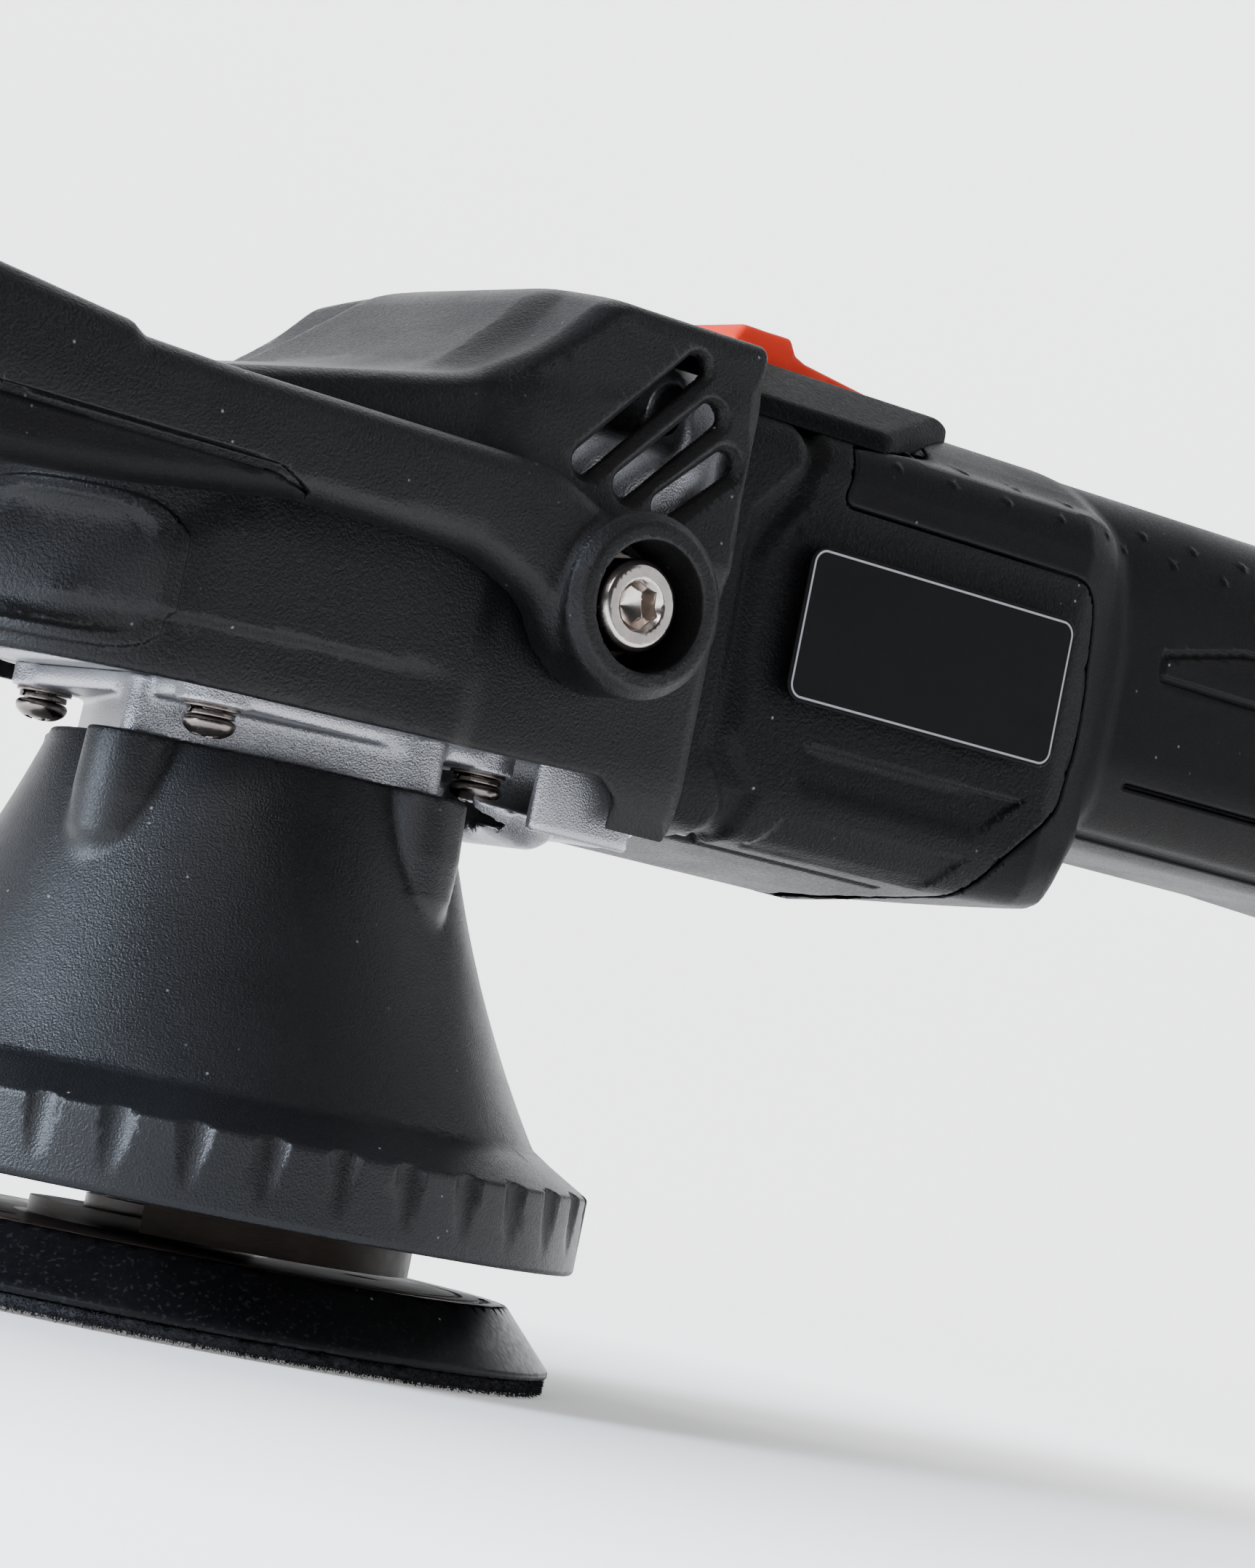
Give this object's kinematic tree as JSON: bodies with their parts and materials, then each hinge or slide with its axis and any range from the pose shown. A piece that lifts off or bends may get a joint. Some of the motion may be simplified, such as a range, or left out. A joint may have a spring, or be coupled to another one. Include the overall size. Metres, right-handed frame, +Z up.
{
  "type": "dual action polisher",
  "caption": "Cordless dual action polisher: hook-faced plate orbiting under a flared shroud, geared head with bail handle, slim grip with slide switch and slide-on battery.",
  "frame": {"origin": "on the spindle axis, at the hook face of the backing plate", "axes": "+Z up along the spindle away from the work, -X towards the nose and bail handle, +X towards the battery, -Y the left side"},
  "size_m": [0.4825, 0.1302, 0.174],
  "materials": {
    "black_plastic": "fine spark-eroded texture",
    "cover_black": "soft satin moulding",
    "rubber_black": "matt overmould",
    "cast_aluminium": "blasted casting",
    "steel": "turned and zinc plated",
    "stainless": "bright stainless",
    "weight_steel": "milled dark steel",
    "laminated_board": "brown fibre laminate",
    "plate_urethane": "moulded urethane",
    "hook_fabric": "hook pile",
    "red_plastic": "satin red",
    "label_film": "satin film",
    "copper": "enamelled winding wire",
    "circuit_board": "solder mask",
    "cell_wrap": "shrink wrap",
    "clear_smoke": "smoked lens"
  },
  "bodies": {
    "housing": {"head_cover": "cover_black", "gear_housing": "cast_aluminium", "bearing_flange": "cast_aluminium", "flange_screws": "steel", "flange_washers": "steel", "shroud": "black_plastic", "shroud_screws": "steel", "gearbox_screws": "steel", "lower_spindle_bearing": "steel", "upper_spindle_bearing": "steel", "front_motor_bearing": "steel", "rear_motor_bearing": "steel", "retaining_ring": "steel", "motor_end_bracket": "cast_aluminium", "stator_core": "steel", "stator_windings": "copper", "motor_housing_left": "black_plastic", "motor_housing_right": "black_plastic", "housing_screws": "steel", "grip_sleeve": "rubber_black", "label_plate": "label_film", "switch_bezel": "black_plastic", "switch_module": "black_plastic", "controller_board": "circuit_board", "smoothing_capacitors": "cell_wrap", "dial_potentiometer": "black_plastic", "battery_rail": "black_plastic", "terminal_block": "black_plastic", "terminal_blades": "stainless", "handle_bolts": "stainless", "handle_washers": "steel"},
    "rotor": {"motor_shaft": "steel", "rotor_core": "steel", "fan": "black_plastic", "pinion": "steel"},
    "spindle": {"spindle": "steel", "bevel_gear": "steel", "eccentric_bearings": "steel", "eccentric_seal": "rubber_black", "counterweight": "weight_steel", "counterweight_screws": "steel"},
    "plate": {"plate_shaft": "steel", "plate_hub": "steel", "backing_disc": "laminated_board", "backing_foam": "plate_urethane", "backing_hook": "hook_fabric"},
    "handle": {"handle_frame": "cover_black", "handle_grip": "rubber_black"},
    "switch": {"slide_switch": "red_plastic", "switch_link": "black_plastic"},
    "dial": {"speed_dial": "black_plastic"},
    "battery": {"battery_shell_front": "black_plastic", "battery_shell_rear": "black_plastic", "battery_cells": "cell_wrap", "battery_terminals": "stainless", "gauge_window": "clear_smoke", "release_springs": "steel"},
    "left_release": {"release_button_left": "red_plastic"},
    "right_release": {"release_button_right": "red_plastic"},
    "gauge": {"gauge_button": "rubber_black"}
  },
  "joints": [
    {"name": "spindle_spin", "type": "hinge", "parent": "housing", "child": "spindle", "pos_m": [0, 0, 0.1], "axis": [0, 0, 1], "continuous": true},
    {"name": "rotor_spin", "type": "hinge", "parent": "housing", "child": "rotor", "pos_m": [0.05, 0, 0.119], "axis": [1, 0, 0], "continuous": true},
    {"name": "plate_spin", "type": "hinge", "parent": "spindle", "child": "plate", "pos_m": [0.00194, 0.00724, 0.03], "axis": [0, 0, 1], "continuous": true},
    {"name": "handle_tilt", "type": "hinge", "parent": "housing", "child": "handle", "pos_m": [0.0254, 0, 0.1134], "axis": [0, 1, 0], "range_deg": [-20, 45]},
    {"name": "switch_slide", "type": "slide", "parent": "housing", "child": "switch", "axis": [-1, 0, 0], "range_m": [0, 0.006]},
    {"name": "dial_turn", "type": "hinge", "parent": "housing", "child": "dial", "pos_m": [0.232, 0, 0.144], "axis": [0, 1, 0], "range_deg": [0, 270]},
    {"name": "battery_slide", "type": "slide", "parent": "housing", "child": "battery", "axis": [0, 0, 1], "range_m": [0, 0.095]},
    {"name": "left_release_press", "type": "slide", "parent": "battery", "child": "left_release", "axis": [0, 1, 0], "range_m": [0, 0.0015], "stiffness_N_per_m": 600, "springref_m": -0.002},
    {"name": "right_release_press", "type": "slide", "parent": "battery", "child": "right_release", "axis": [0, -1, 0], "range_m": [0, 0.0015], "stiffness_N_per_m": 600, "springref_m": -0.002},
    {"name": "gauge_press", "type": "slide", "parent": "battery", "child": "gauge", "axis": [-1, 0, 0], "range_m": [0, 0.0005], "stiffness_N_per_m": 400, "springref_m": -0.001}
  ],
  "couplings": [
    {"joint": "rotor_spin", "follows": "spindle_spin", "ratio": 3}
  ]
}
